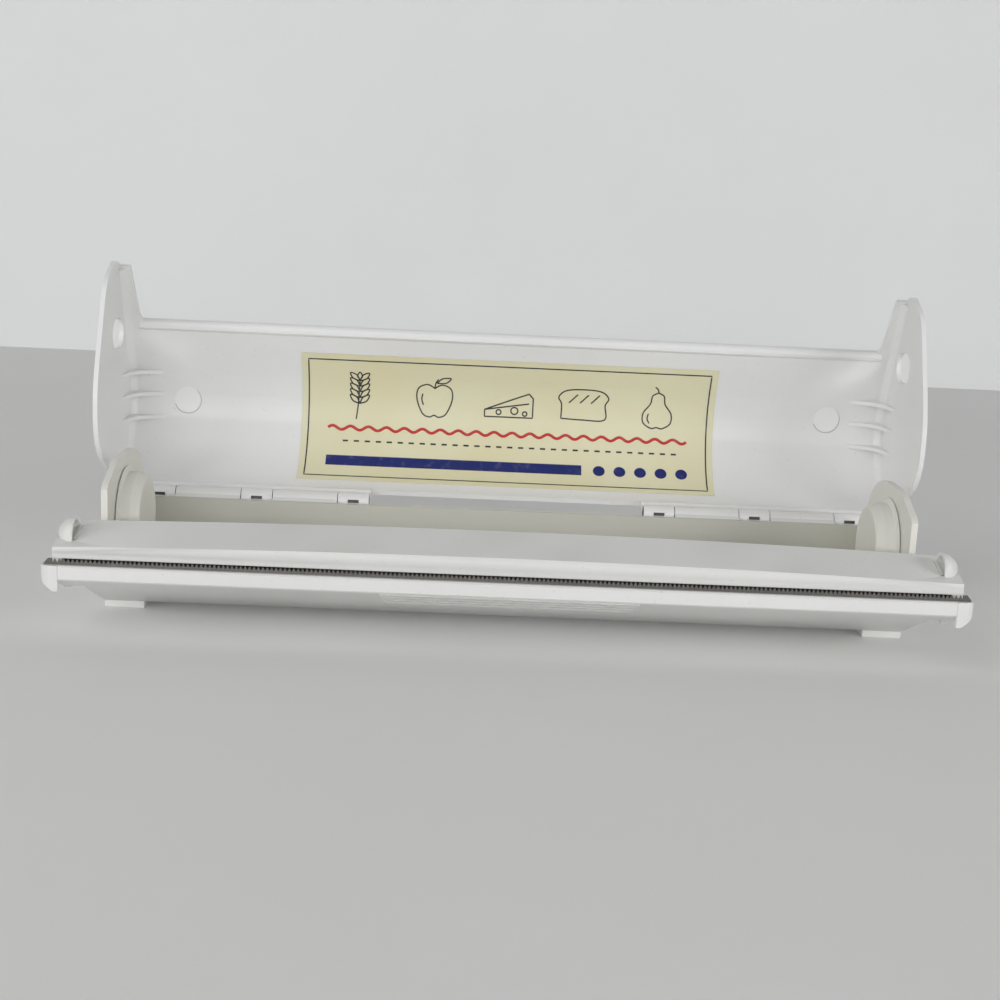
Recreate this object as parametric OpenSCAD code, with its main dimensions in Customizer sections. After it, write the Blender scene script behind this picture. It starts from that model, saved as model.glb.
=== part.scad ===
// Wrap and foil dispenser: open lid, tray with two hubs, guard bar and cutter blade.
// Millimetres. X runs along the roll, the blade faces -Y, the hinge is at +Y, Z is up.
// Section values y and z are measured from the middle of the trough and from the table.

/* [Roll and length] */
// Length of the roll that the holding tabs take
roll_len = 305; // [280:1:330]
// End play left on each side of the roll
roll_play = 3; // [1:0.5:5]
// Height of the hub axis above the table
hub_z = 36; // [35:0.5:38]
// Distance of the hub axis in front of the middle of the trough
hub_front = 9; // [5:0.5:11]
// Radius of the hub that the core sits on
hub_r = 17.5; // [16:0.25:18]
// How far each hub reaches in from its tab
hub_len = 9; // [7:0.5:10]
// Radius of the stub axle that the hub turns on
axle_r = 5; // [4:0.25:6]

/* [Tray] */
// Wall thickness of the tray
tray_wall = 2.4; // [2:0.1:2.8]
// Outer radius of the trough
bowl_r = 32; // [31:0.5:33]
// Height of the trough underside above the table
foot_h = 3; // [2:0.25:4]
// How far the flat underside reaches forward of the middle
flat_front = 20.8; // [18:0.2:23]
// Height of the bottom of the front wall
front_low = 22.8; // [22:0.2:24]
// Height of the top of the front wall
front_top = 28.6; // [28.4:0.1:29]
// Distance from the middle to the front of the tray wall
front_y = 64.8; // [63:0.2:66]
// Width of each foot along the roll
foot_w = 16; // [12:0.5:18]
// How far the feet reach behind the middle
foot_rear = 24; // [20:0.5:26]

/* [Front] */
// Thickness of the fascia in front of the blade
fascia_t = 2; // [1.6:0.1:2.6]
// Thickness of the blade strip
blade_t = 0.4; // [0.3:0.05:0.6]
// Height of the tooth tips above the front wall
blade_out = 2.4; // [2:0.1:2.8]
// Tooth height
tooth_h = 1.6; // [1.2:0.1:1.8]
// Number of teeth
tooth_n = 208; // [160:4:240]
// Radius of the rivets that clamp the blade
rivet_r = 1.4; // [1:0.1:1.6]
// Number of rivets
rivet_n = 7; // [5:2:9]

/* [Guard] */
// Thickness of the guard plate
guard_t = 2; // [1.6:0.1:2.4]
// Slope of the guard plate
guard_slope = 15.6; // [13:0.2:17]
// Height of the front edge of the guard plate
guard_front_z = 34.6; // [34:0.1:35.2]
// How far the middle of the guard plate stands above its ends
guard_crown = 2.6; // [0:0.1:3]
// Height of the skirt on the front edge of the guard plate
skirt_h = 4.2; // [3.6:0.1:4.4]
// Radius of the pins the guard turns on
guard_pin_r = 1.6; // [1.3:0.1:1.8]
// Wire thickness of the guard springs
spring_wire = 0.7; // [0.5:0.05:0.8]

/* [Lid] */
// Wall thickness of the lid shell
lid_wall = 2.1; // [1.8:0.1:2.4]
// Inner radius of the lid shell
lid_r = 35; // [34:0.25:36]
// Angle round the shell where the flat front of the lid begins
lid_arc = 116; // [112:1:120]
// Length of the flat front of the lid
lid_flat = 20; // [17:0.5:22]
// Length of the flange that reaches past the lip on each ear
ear_reach = 29; // [25:0.5:30]
// Thickness of the ears
ear_t = 1.9; // [1.6:0.1:2.6]
// Half width of the oval window in each ear
ear_hole_r = 6.5; // [5:0.25:7]
// Opening angle of the lid as it is drawn
lid_open = 92; // [85:1:98]
// Width of the printed sheet in the lid
sheet_w = 188; // [150:2:210]
// Thickness of the printed sheet
sheet_t = 0.2; // [0.15:0.05:0.3]

/* [Hinge and fits] */
// Radius of the hinge barrels
barrel_r = 3.6; // [3.2:0.1:3.8]
// Radius of the hinge pins
hinge_pin_r = 1.5; // [1.2:0.1:1.7]
// Length of the lid knuckles
knuckle_len = 13.4; // [11:0.2:15]
// Length of the tray barrels
barrel_len = 28; // [25:0.5:29]
// Distance from the middle of the tray to the first lid knuckle
hinge_start = 60.2; // [57:0.2:62]
// Radial clearance where one piece turns on another
run_gap = 0.05; // [0.02:0.01:0.08]
// Radial clearance where a pin is fixed
fix_gap = 0.02; // [0.01:0.01:0.03]
// Gap between pieces that move past each other
free_gap = 0.5; // [0.4:0.05:0.8]

/* [Hidden] */
$fn = 96;
tab_t = 2.5;
tab_gap = 0.7;
tab_front = 39.6;
tab_top = 61.2;
hub_flange = 2.3;
hub_clear = 0.35;
root_c = 4.5;
root_r = 4.7;
fin_a = 94;
lip_r = 2.6;
lip_back = 0.7;
ring_r = 8;
ring_t = 0.3;
seat_w = 5;
seat_a = 17;
seat_b = 3;
hood_r = 6.5;
corner_w = 3.2;
corner_l = 9;
hood_wall = 1.1;
hood_y = 10.4;
floor_run = 11;
tab_in = roll_len / 2 + roll_play;
tab_out = tab_in + tab_t;
tray_half = tab_out + 3.5;
bar_half = tray_half + 9.5;
ear_in = bar_half + free_gap;
ear_out = ear_in + ear_t;
guard_half = bar_half - 0.3;
bowl_cz = bowl_r + foot_h;
bowl_cy = 2;
bowl_in = bowl_r - tray_wall;
floor_in = foot_h + tray_wall;
ramp_a = atan((front_low - foot_h) / (front_y - flat_front));
ramp_lift = tray_wall / cos(ramp_a);
hinge_y = bowl_cy + bowl_r + barrel_r + 0.8;
hinge_z = bowl_cz + 0.4;
lid_cy = 1;
lid_cz = bowl_cz;
lid_mid = lid_r + lid_wall / 2;
arc_y = lid_cy + lid_mid * cos(lid_arc);
arc_z = lid_cz + lid_mid * sin(lid_arc);
open_cy = hinge_y + (lid_cy - hinge_y) * cos(lid_open) + (lid_cz - hinge_z) * sin(lid_open);
rear_y = open_cy + lid_r + lid_wall;
fascia_y = front_y + blade_t + fascia_t;
cap_out = 3.5;
cap_in = 3.4;
cap_low = 4;
y_shift = (fascia_y - rear_y) / 2;
guard_front_y = front_y - tray_wall;
guard_rear_y = 42;
guard_pin_y = 45.5;
guard_pin_z = guard_front_z - 2;
part_y = guard_rear_y - 0.4;
part_low = front_low - (front_y - part_y) * tan(ramp_a) + tray_wall / 2;
part_top = guard_front_z + 2.8;
rib_pitch = 5.8;
rib_w = 3.8;
lug_r = guard_pin_r + 1.7;
step = knuckle_len + barrel_len + 0.6;
hinge_end = hinge_start + 2 * step + knuckle_len;
bead_r = 1.6;
slot_w = 4.8;
bead_z = floor_in + 2;
bead_x = tab_in + tab_t / 2;
floor_front_z = front_low - floor_run * tan(ramp_a) + tray_wall;
floor_rear_z = 16.4;
blade_low = front_low + 0.9;
blade_tip = front_top + blade_out;

// Extrudes a section in y and z along X from x0 to x1
module along_x(x0, x1) {
    translate([x0, 0, 0])
        rotate([90, 0, 90])
            linear_extrude(height = x1 - x0)
                children();
}

// Round bar along X
module bar_x(x0, x1, y, z, r) {
    translate([x0, y, z])
        rotate([0, 90, 0])
            cylinder(h = x1 - x0, r = r);
}

// Repeats a right-hand piece on the left
module both_sides() {
    children();
    mirror([1, 0, 0])
        children();
}

// Moves everything so that the box of the object is centred on the origin
module seat() {
    translate([0, y_shift, 0])
        children();
}

// Turns a piece of the closed lid to its open place
module opened() {
    translate([0, hinge_y, hinge_z])
        rotate([-lid_open, 0, 0])
            translate([0, -hinge_y, -hinge_z])
                children();
}

// Outline of the trough and ramp, shrunk by d
module trough_2d(d) {
    r = bowl_r - d;
    lift = d / cos(ramp_a);
    fy = flat_front + d * tan(ramp_a / 2);
    fz = front_low + lift;
    union() {
        intersection() {
            translate([bowl_cy, bowl_cz])
                circle(r = r);
            translate([bowl_cy, 0])
                square([bowl_r + 1, bowl_cz]);
        }
        polygon([[bowl_cy, foot_h + d], [-fy, foot_h + d], [-front_y, fz], [-front_y, bowl_cz],
            [bowl_cy, bowl_cz]]);
    }
}

// Wall of the trough, open at the top and at both ends
module trough_wall_2d() {
    difference() {
        trough_2d(0);
        trough_2d(tray_wall);
        translate([-front_y - 1, front_top])
            square([front_y - 30, 30]);
        translate([-30, bowl_cz - 0.01])
            square([bowl_cy + 80, 10]);
    }
    intersection() {
        trough_2d(0);
        translate([-front_y, front_low - 4])
            square([tray_wall - 0.6, front_top - front_low + 4]);
    }
}

// End plate of the front bar, which carries one guard pin
module pin_plate_2d() {
    difference() {
        union() {
            polygon([[-front_y + tray_wall, front_low + 1.6], [-front_y + tray_wall, front_top - 1.6],
                [-front_y + 10, front_top - 1.6], [-guard_pin_y - 3, guard_pin_z],
                [-guard_pin_y, guard_pin_z + 3], [-guard_pin_y + 3, guard_pin_z],
                [-guard_pin_y + 4.4, floor_rear_z], [-guard_pin_y, floor_rear_z - 1.8]]);
            translate([-guard_pin_y, guard_pin_z])
                circle(r = lug_r);
        }
        translate([-guard_pin_y, guard_pin_z])
            circle(r = guard_pin_r + fix_gap);
    }
}

// Seat of the bead on a holding tab
module tab_seat() {
    for (sy = [-seat_a, -seat_b])
        translate([bead_x, sy, floor_in - 0.3])
            difference() {
                translate([-2 * bead_r, -seat_w / 2, 0])
                    cube([4 * bead_r, seat_w, bead_z - floor_in + 0.7]);
                translate([0, -seat_w / 2 - 1, bead_z - floor_in + 0.3])
                    rotate([-90, 0, 0])
                        cylinder(h = seat_w + 2, r = bead_r + run_gap);
            }
}

// Base tray with trough, front wall, hinge barrels and seats
module base_tray() {
    color([0.9, 0.9, 0.89])
        seat()
            difference() {
                union() {
                    along_x(-tray_half, tray_half)
                        trough_wall_2d();
                    // front wall and ramp carried out to the end plates
                    along_x(-bar_half + 0.2, bar_half - 0.2)
                        polygon([[-front_y, front_low], [-front_y, front_top],
                            [-front_y + tray_wall - 0.6, front_top],
                            [-front_y + tray_wall - 0.6, front_low + 3],
                            [-front_y + 12, front_low + ramp_lift - 12 * tan(ramp_a) + 0.4],
                            [-front_y + 12, front_low - 12 * tan(ramp_a)]]);
                    both_sides() {
                        along_x(bar_half - 2.6, bar_half - 0.2)
                            pin_plate_2d();
                        along_x(tray_half - 2.4, tray_half)
                            pin_plate_2d();
                        // floor that joins the two end plates
                        along_x(tray_half - 1, bar_half - 1)
                            polygon([[-front_y + floor_run, floor_front_z - tray_wall],
                                [-front_y + floor_run, floor_front_z], [-guard_pin_y + 4.4, floor_rear_z],
                                [-guard_pin_y + 4, floor_rear_z - 2.2]]);
                        // rear wall on that floor
                        along_x(tray_half - 1, bar_half - 1)
                            translate([-part_y, floor_rear_z - 1])
                                square([1.4, guard_pin_z - 4.2 - floor_rear_z + 1]);
                        tab_seat();
                        hinge_barrels();
                    }
                    // wall between the roll and the space under the guard
                    along_x(-tray_half + 1.2, tray_half - 1.2)
                        polygon([[-part_y, part_low], [-part_y, part_top], [-part_y + 1.4, part_top],
                            [-part_y + 1.4, part_low - 1.4 * tan(ramp_a)]]);
                    // grip ribs under the front bar
                    for (i = [0:3])
                        grip_rib(4.4 + i * rib_pitch, 98 - 0.8 * i);
                    // low rib that stiffens the top of the rear wall
                    along_x(-hinge_start + 2, hinge_start - 2)
                        translate([bowl_cy + bowl_r - 0.2, bowl_cz - 3])
                            square([1.4, 3]);
                }
                for (i = [0:rivet_n - 1])
                    translate([rivet_x(i), -front_y - 1, rivet_z()])
                        rotate([-90, 0, 0])
                            cylinder(h = 6, r = rivet_r + fix_gap);
                // room for the rivet heads behind the front wall
                for (i = [0:rivet_n - 1])
                    translate([rivet_x(i), -front_y + tray_wall - 0.6, rivet_z()])
                        rotate([-90, 0, 0])
                            cylinder(h = 5, r = rivet_r + 0.6);
                both_sides()
                    bar_x(hinge_start - 2, hinge_end + 2, hinge_y, hinge_z, hinge_pin_r + fix_gap);
            }
}

function rivet_x(i) = (i - (rivet_n - 1) / 2) * (2 * bar_half - 40) / (rivet_n - 1);
function rivet_z() = (blade_low + front_top) / 2 - 0.2;

// One grip rib of the given length at distance s down the ramp
module grip_rib(s, len) {
    translate([0, -front_y + s * cos(ramp_a), front_low - s * sin(ramp_a)])
        rotate([-ramp_a, 0, 0])
            translate([-len / 2, -rib_w / 2, -0.6])
                cube([len, rib_w, 1.2]);
}

// The tray barrels of one hinge group
module hinge_barrels() {
    for (i = [0:1])
        let (x0 = hinge_start + knuckle_len + 0.3 + i * step) {
            bar_x(x0, x0 + barrel_len, hinge_y, hinge_z, barrel_r);
            along_x(x0, x0 + barrel_len)
                polygon([[bowl_cy + bowl_r - 1.4, bowl_cz - 8], [hinge_y - 0.4, hinge_z - barrel_r + 0.3],
                    [hinge_y, hinge_z], [hinge_y - barrel_r + 1, hinge_z + 1.4],
                    [bowl_cy + bowl_r - 1.4, bowl_cz]]);
        }
}

// White band in front of the blade
module front_fascia() {
    color([0.92, 0.92, 0.91])
        seat()
            difference() {
                union() {
                    along_x(-bar_half + cap_in + 0.1, bar_half - cap_in - 0.1)
                        translate([-fascia_y, front_low])
                            polygon([[0, 0.8], [0, front_top - front_low - 0.6],
                                [0.6, front_top - front_low], [fascia_t, front_top - front_low],
                                [fascia_t, 0], [0.8, 0]]);
                    // lower lip that backs the band against the tray wall
                    along_x(-bar_half + cap_in + 0.1, bar_half - cap_in - 0.1)
                        translate([-fascia_y + fascia_t - 0.01, front_low])
                            square([blade_t + 0.01, blade_low - front_low - 0.2]);
                }
                for (i = [0:rivet_n - 1])
                    translate([rivet_x(i), -fascia_y + 0.7, rivet_z()])
                        rotate([-90, 0, 0])
                            cylinder(h = 6, r = rivet_r + fix_gap);
            }
}

// Plan of the right cap, from the front of the band
module cap_2d() {
    r = cap_out + 0.6;
    cx = bar_half + cap_out - r;
    deep = fascia_y - front_y + tray_wall;
    union() {
        intersection() {
            translate([cx, r])
                circle(r = r);
            translate([cx, -1])
                square([r + 1, r + 1]);
        }
        translate([bar_half - cap_in, 0])
            square([cx - bar_half + cap_in, deep]);
        translate([cx, r])
            square([r, deep - r]);
    }
}

// Rounded cap on the right end of the front bar
module cap_body() {
    difference() {
        translate([0, -fascia_y, front_low - cap_low])
            linear_extrude(height = front_top - front_low + cap_low)
                cap_2d();
        // room for the end of the front wall and the blade
        translate([bar_half - 4, -front_y - blade_t, front_low - 3 * cap_low])
            cube([4, 4 * cap_low, 12 * cap_low]);
        translate([bar_half - 4, -front_y - blade_t, blade_low - 0.1])
            cube([cap_out + 3, blade_t, 6 * cap_low]);
        // outer side drawn in towards the bottom, in two steps
        for (cut = [[0.1, 2.6, 18], [-1, -0.8, 52]])
            translate([bar_half + cap_out + cut[0], -fascia_y - 1, front_low + cut[1]])
                rotate([0, cut[2], 0])
                    translate([0, 0, -5 * cap_low])
                        cube([3 * cap_low, 4 * cap_low, 10 * cap_low]);
        // sloping underside
        translate([bar_half - 4, -fascia_y - 1, front_low - cap_low])
            rotate([-ramp_a, 0, 0])
                translate([0, 0, -3 * cap_low])
                    cube([3 * cap_low, 4 * cap_low, 3 * cap_low]);
    }
}

module end_cap_right() {
    color([0.92, 0.92, 0.91])
        seat()
            cap_body();
}

module end_cap_left() {
    color([0.92, 0.92, 0.91])
        seat()
            mirror([1, 0, 0])
                cap_body();
}

// Serrated strip, teeth up
module cutter_blade() {
    len = 2 * (bar_half + cap_out - 1.5);
    cut = 2 * (guard_half - 1);
    p = cut / tooth_n;
    color([0.72, 0.73, 0.74])
        seat()
            difference() {
                translate([0, -front_y, 0])
                    rotate([90, 0, 0])
                        linear_extrude(height = blade_t)
                            polygon(concat([[-len / 2, blade_low], [len / 2, blade_low],
                                    [len / 2, front_top + 0.6], [len / 2 - 1.6, blade_tip],
                                    [cut / 2 + 0.2, blade_tip]],
                                [for (i = [0:2 * tooth_n])
                                    [cut / 2 - i * p / 2, blade_tip - (i % 2 == 0 ? tooth_h : 0)]],
                                [[-cut / 2 - 0.2, blade_tip], [1.6 - len / 2, blade_tip],
                                    [-len / 2, front_top + 0.6]]));
                for (i = [0:rivet_n - 1])
                    translate([rivet_x(i), -front_y - 2, rivet_z()])
                        rotate([-90, 0, 0])
                            cylinder(h = 4, r = rivet_r + fix_gap);
            }
}

// Push rivets from the back of the front wall into the band
module blade_rivets() {
    color([0.86, 0.86, 0.84])
        seat()
            for (i = [0:rivet_n - 1])
                translate([rivet_x(i), -fascia_y + 0.8, rivet_z()])
                    rotate([-90, 0, 0])
                        union() {
                            cylinder(h = fascia_y - front_y + tray_wall - 1.3, r = rivet_r);
                            translate([0, 0, fascia_y - front_y + tray_wall - 1.4])
                                cylinder(h = 0.9, r = rivet_r + 0.5);
                        }
}

// Right foot, flat below and shaped to the trough above
module foot_body() {
    along_x(tray_half - foot_w, tray_half)
        difference() {
            translate([-flat_front, 0])
                square([flat_front + foot_rear, bowl_cz - 20]);
            trough_2d(0);
        }
}

module foot_right() {
    color([0.88, 0.88, 0.87])
        seat()
            foot_body();
}

module foot_left() {
    color([0.88, 0.88, 0.87])
        seat()
            mirror([1, 0, 0])
                foot_body();
}

module hinge_pin_right() {
    color([0.7, 0.7, 0.72])
        seat()
            bar_x(hinge_start + 0.4, hinge_end - 0.4, hinge_y, hinge_z, hinge_pin_r);
}

module hinge_pin_left() {
    color([0.7, 0.7, 0.72])
        seat()
            bar_x(-hinge_end + 0.4, -hinge_start - 0.4, hinge_y, hinge_z, hinge_pin_r);
}

module guard_pin_right() {
    color([0.7, 0.7, 0.72])
        seat()
            bar_x(tray_half - 2.4, bar_half - 0.4, -guard_pin_y, guard_pin_z, guard_pin_r);
}

module guard_pin_left() {
    color([0.7, 0.7, 0.72])
        seat()
            bar_x(-bar_half + 0.4, -tray_half + 2.4, -guard_pin_y, guard_pin_z, guard_pin_r);
}

// Right coil spring round the guard pin, with one short leg each way
module spring_body() {
    coil_r = guard_pin_r + spring_wire / 2 + 0.15;
    leg_run = (front_y - floor_run - guard_pin_y - coil_r) / (front_y - floor_run - guard_pin_y + 4.4);
    leg_z = floor_front_z + (floor_rear_z - floor_front_z) * leg_run + 0.2;
    translate([tray_half + 0.8, -guard_pin_y, guard_pin_z])
        rotate([0, 90, 0])
            rotate_extrude()
                translate([coil_r - spring_wire / 2, 0])
                    polygon([[0, 0], [spring_wire, 0], [spring_wire, 0.4 * spring_wire],
                        [0.7 * spring_wire, 0.7 * spring_wire], [spring_wire, spring_wire],
                        [spring_wire, 1.6 * spring_wire], [0.7 * spring_wire, 1.9 * spring_wire],
                        [spring_wire, 2.2 * spring_wire], [spring_wire, 2.8 * spring_wire],
                        [0.7 * spring_wire, 3.1 * spring_wire], [spring_wire, 3.4 * spring_wire],
                        [spring_wire, 3.8 * spring_wire], [0, 3.8 * spring_wire]]);
    // leg that stands on the tray
    translate([tray_half + 0.8 + spring_wire * 0.63, -guard_pin_y - coil_r - 0.04, leg_z])
        cylinder(h = guard_pin_z + 0.3 - leg_z, r = spring_wire * 0.41);
    // leg that lies under the guard plate
    translate([tray_half + 0.8 + spring_wire * 3.17, -guard_pin_y + 0.3, guard_pin_z + coil_r - 0.03])
        rotate([94, 0, 0])
            cylinder(h = 6, r = spring_wire * 0.41);
}

module guard_spring_right() {
    color([0.66, 0.66, 0.68])
        seat()
            spring_body();
}

module guard_spring_left() {
    color([0.66, 0.66, 0.68])
        seat()
            mirror([1, 0, 0])
                spring_body();
}

// Half dome at the right end of the guard, open towards the middle
module guard_hood() {
    in_r = hood_r - hood_wall;
    lift = guard_front_z + hood_y * tan(guard_slope);
    translate([guard_half - 0.96 * hood_r - 0.2, -guard_front_y + hood_y, lift])
        rotate([guard_slope, 0, 0]) {
            difference() {
                rotate([0, 90, 0])
                    rotate_extrude()
                        polygon([[in_r, 0], [hood_r, 0], [0.95 * hood_r, 0.32 * hood_r],
                            [0.81 * hood_r, 0.6 * hood_r], [0.58 * hood_r, 0.82 * hood_r],
                            [0.3 * hood_r, 0.96 * hood_r], [0, 0.96 * hood_r], [0, 0.96 * in_r],
                            [0.3 * in_r, 0.96 * in_r], [0.58 * in_r, 0.82 * in_r],
                            [0.81 * in_r, 0.6 * in_r], [0.95 * in_r, 0.32 * in_r]]);
                translate([-hood_r, -2 * hood_r, -4 * hood_r - guard_t / 2])
                    cube([4 * hood_r, 4 * hood_r, 4 * hood_r]);
            }
            // sill of the opening
            translate([-hood_wall, -in_r, -guard_t / 2])
                cube([hood_wall, 2 * in_r, guard_t / 2 + 0.7]);
        }
}

// Height of the crowned guard plate above its ends
function crown(x) = guard_crown * (1 - pow(x / guard_half, 2));

// Outline across the guard bar: crowned top, and a bottom that follows it or lies flat
module crown_2d(top, low, flat) {
    n = 16;
    xs = [for (i = [0:n]) guard_half * (2 * i / n - 1)];
    polygon(concat([for (x = xs) [x, crown(x) - top]],
        [for (i = [n:-1:0]) [xs[i], flat ? -low : crown(xs[i]) - low]]));
}

// Plan of the guard plate with its rear corners cut off, longer at both ends than the plate
module guard_plan() {
    wide = guard_half + corner_w;
    polygon([[-wide, -guard_front_y], [wide, -guard_front_y], [wide, -guard_rear_y - 2 * corner_l],
        [guard_half - corner_w, -guard_rear_y], [corner_w - guard_half, -guard_rear_y],
        [-wide, -guard_rear_y - 2 * corner_l]]);
}

// Guard bar: crowned sloping plate, front skirt, lugs on the pins and end hoods
module guard_bar() {
    rise = (guard_front_y - guard_rear_y) * tan(guard_slope);
    color([0.89, 0.89, 0.88])
        seat()
            difference() {
                union() {
                    intersection() {
                        translate([0, -guard_front_y, guard_front_z])
                            rotate([guard_slope, 0, 0])
                                translate([0, 2 * guard_rear_y, 0])
                                    rotate([90, 0, 0])
                                        linear_extrude(height = 3 * guard_rear_y)
                                            crown_2d(0, guard_t, false);
                        linear_extrude(height = 3 * guard_front_z)
                            guard_plan();
                    }
                    translate([0, -guard_front_y + 1.8, guard_front_z])
                        rotate([90, 0, 0])
                            linear_extrude(height = 1.8)
                                crown_2d(0.8, skirt_h, true);
                    both_sides() {
                        guard_hood();
                        along_x(bar_half - 5.5, bar_half - 3.1)
                            union() {
                                translate([-guard_pin_y, guard_pin_z])
                                    circle(r = lug_r);
                                polygon([[-guard_pin_y - lug_r, guard_pin_z],
                                    [-guard_pin_y - lug_r, guard_front_z + 0.62 * rise],
                                    [-guard_pin_y + lug_r, guard_front_z + 0.9 * rise],
                                    [-guard_pin_y + lug_r, guard_pin_z]]);
                            }
                    }
                }
                both_sides()
                    bar_x(bar_half - 8, bar_half, -guard_pin_y, guard_pin_z, guard_pin_r + run_gap);
            }
}

// Outline of a holding tab
module tab_2d() {
    rear = bowl_cy + bowl_in - tab_gap;
    intersection() {
        union() {
            trough_2d(tray_wall + tab_gap);
            translate([-tab_front, bowl_cz])
                square([rear + tab_front, 2 * bowl_r]);
        }
        polygon([[-tab_front, bowl_cz / 2.5], [-tab_front, tab_top - 9.2], [2 - tab_front, tab_top - 7],
            [6 - tab_front, tab_top - 5.6], [10.5 - tab_front, tab_top - 3.6],
            [16 - tab_front, tab_top - 1.2], [22 - tab_front, tab_top - 0.3], [-10, tab_top],
            [0, tab_top], [7, tab_top - 0.9], [13, tab_top - 2.8], [18, tab_top - 5.6],
            [22, tab_top - 9.4], [25, tab_top - 14],
            [rear - 1.6, bowl_cz + 3], [rear, bowl_cz - 4], [rear, 0], [-flat_front / 2, 0]]);
    }
}

// Right holding tab: plate, bead at the foot and stub axle for the hub
module tab_body() {
    union() {
        along_x(tab_in, tab_out)
            difference() {
                tab_2d();
                for (sy = [-seat_a, -seat_b])
                    translate([sy - seat_w / 2 - tab_gap, 0])
                        square([seat_w + 2 * tab_gap, bead_z + 0.9]);
            }
        translate([bead_x, -seat_a - seat_w / 2 - 1.1, bead_z])
            rotate([-90, 0, 0])
                cylinder(h = seat_a - seat_b + seat_w + 2.2, r = bead_r);
        bar_x(tab_in - hub_len + 2, tab_in + 0.5, -hub_front, hub_z, axle_r);
        // ring that the hub runs against
        along_x(tab_in - ring_t, tab_in + 0.5)
            translate([-hub_front, hub_z])
                circle(r = ring_r);
    }
}

module holding_tab_right() {
    color([0.9, 0.89, 0.84])
        seat()
            tab_body();
}

module holding_tab_left() {
    color([0.9, 0.89, 0.84])
        seat()
            mirror([1, 0, 0])
                tab_body();
}

// Right hub, closed face towards the roll
module hub_body() {
    rear = hub_len - ring_t - hub_clear;
    skirt = hub_len - hub_clear;
    translate([tab_in - hub_len, -hub_front, hub_z])
        rotate([0, 90, 0])
            rotate_extrude()
                polygon([[0, 0], [hub_r - 2.6, 0], [hub_r - 2, 0.25], [hub_r - 1.6, 0.75],
                    [hub_r - 0.9, 2.2], [hub_r - 0.35, 3.4], [hub_r, 4.3], [hub_r, 7.5],
                    [hub_r + 0.7, 7.9], [hub_r + hub_flange, 8.25], [hub_r + hub_flange, skirt],
                    [hub_r - 2, skirt], [hub_r - 2, 4.6], [hub_r - 4, 2.6], [ring_r, 2.6], [ring_r, rear],
                    [axle_r + run_gap, rear], [axle_r + run_gap, 1.6], [0, 1.6]]);
}

module roll_hub_right() {
    color([0.91, 0.9, 0.85])
        seat()
            hub_body();
}

module roll_hub_left() {
    color([0.91, 0.9, 0.85])
        seat()
            mirror([1, 0, 0])
                hub_body();
}

// Part of a ring between two angles
module sector_2d(r0, r1, a0, a1) {
    n = 24;
    intersection() {
        difference() {
            circle(r = r1);
            circle(r = r0);
        }
        polygon(concat([[0, 0]], [for (i = [0:n])
            let (a = a0 + (a1 - a0) * i / n)
                [1.3 * r1 * cos(a), 1.3 * r1 * sin(a)]]));
    }
}

// Places a flat outline on the front of the lid: u along X, v away from the arc
module on_flat(t0, t1) {
    translate([0, arc_y, arc_z])
        rotate([lid_arc + 90, 0, 0])
            translate([0, 0, t0])
                linear_extrude(height = t1 - t0)
                    children();
}

// Ear outline in the closed place
module ear_2d() {
    fy = arc_y - (lid_flat + ear_reach) * sin(lid_arc);
    fz = arc_z + (lid_flat + ear_reach) * cos(lid_arc);
    intersection() {
        translate([lid_cy, lid_cz])
            circle(r = lid_r + lid_wall);
        polygon([[60, lid_cz + 5], [31.5, lid_cz + 5], [29.6, 32], [26.6, 24.6], [22.8, 18],
            [19, 13.4], [14.6, 9.8], [9.6, 7.5], [4, 6.4], [-2, 6.2], [-12, 7.4], [-32.5, 14.8],
            [-60, 30], [-60, 90], [60, 90]]);
    }
    polygon([[0, 6.4], [-6, 6.4], [-12, 7.4], [-22, 10.7], [-32.5, 14.8], [-45, 19.6],
        [-50.5, 22.4], [-54, 25.6], [-56.4, 30], [fy - 1.6, fz - 8], [fy - 1.4, fz - 3],
        [fy - 0.4, fz - 0.4], [fy + 1, fz + 0.6],
        [arc_y + lid_wall / 2 * cos(lid_arc), arc_z + lid_wall / 2 * sin(lid_arc)], [0, lid_cz]]);
}

// Oval window in an ear
module window_2d() {
    for (dz = [-3.5, 3.5])
        translate([-29.4, 43 + dz])
            circle(r = ear_hole_r);
    translate([-29.4 - ear_hole_r, 39.5])
        square([2 * ear_hole_r, 7]);
}

// Section of the fillet between shell and ear: x is the distance from the lid's axis
module root_2d() {
    n = 6;
    a0 = acos(root_c / root_r);
    leg = root_c - root_r * sin(a0);
    polygon(concat(
        [[lid_r - leg, ear_in + 0.6], [lid_r + 0.6, ear_in + 0.6], [lid_r + 0.6, ear_in - leg]],
        [for (i = [0:n]) let (a = a0 + (90 - 2 * a0) * i / n)
            [lid_r - root_c + root_r * cos(a), ear_in - root_c + root_r * sin(a)]]));
}

// Fillet along the arc and on along the flange
module ear_root() {
    translate([0, lid_cy, lid_cz])
        rotate([90, 0, 90])
            rotate([0, 0, 9.5])
                rotate_extrude(angle = lid_arc - 9.5)
                    root_2d();
    translate([0, lid_cy, lid_cz])
        rotate([lid_arc, 0, 0])
            linear_extrude(height = lid_flat + ear_reach - 1.2)
                mirror([1, -1])
                    root_2d();
}

// One gusset between shell and ear, off to one side of the lid's axis; all of them are parallel
module gusset(off) {
    r = sqrt(lid_r * lid_r - off * off);
    translate([0, lid_cy, lid_cz])
        rotate([fin_a, 0, 0])
            translate([0, 0, off - 0.8])
                linear_extrude(height = 1.6)
                    polygon([[ear_in + 0.2, r + 0.5], [ear_in - 17, r + 0.5], [ear_in - 13.6, r - 1],
                        [ear_in - 9, r - 2.6], [ear_in - 5.4, r - 4.8], [ear_in - 3, r - 7.6],
                        [ear_in - 1.7, r - 11], [ear_in - 0.7, r - 16], [ear_in + 0.2, r - 20]]);
}

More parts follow.
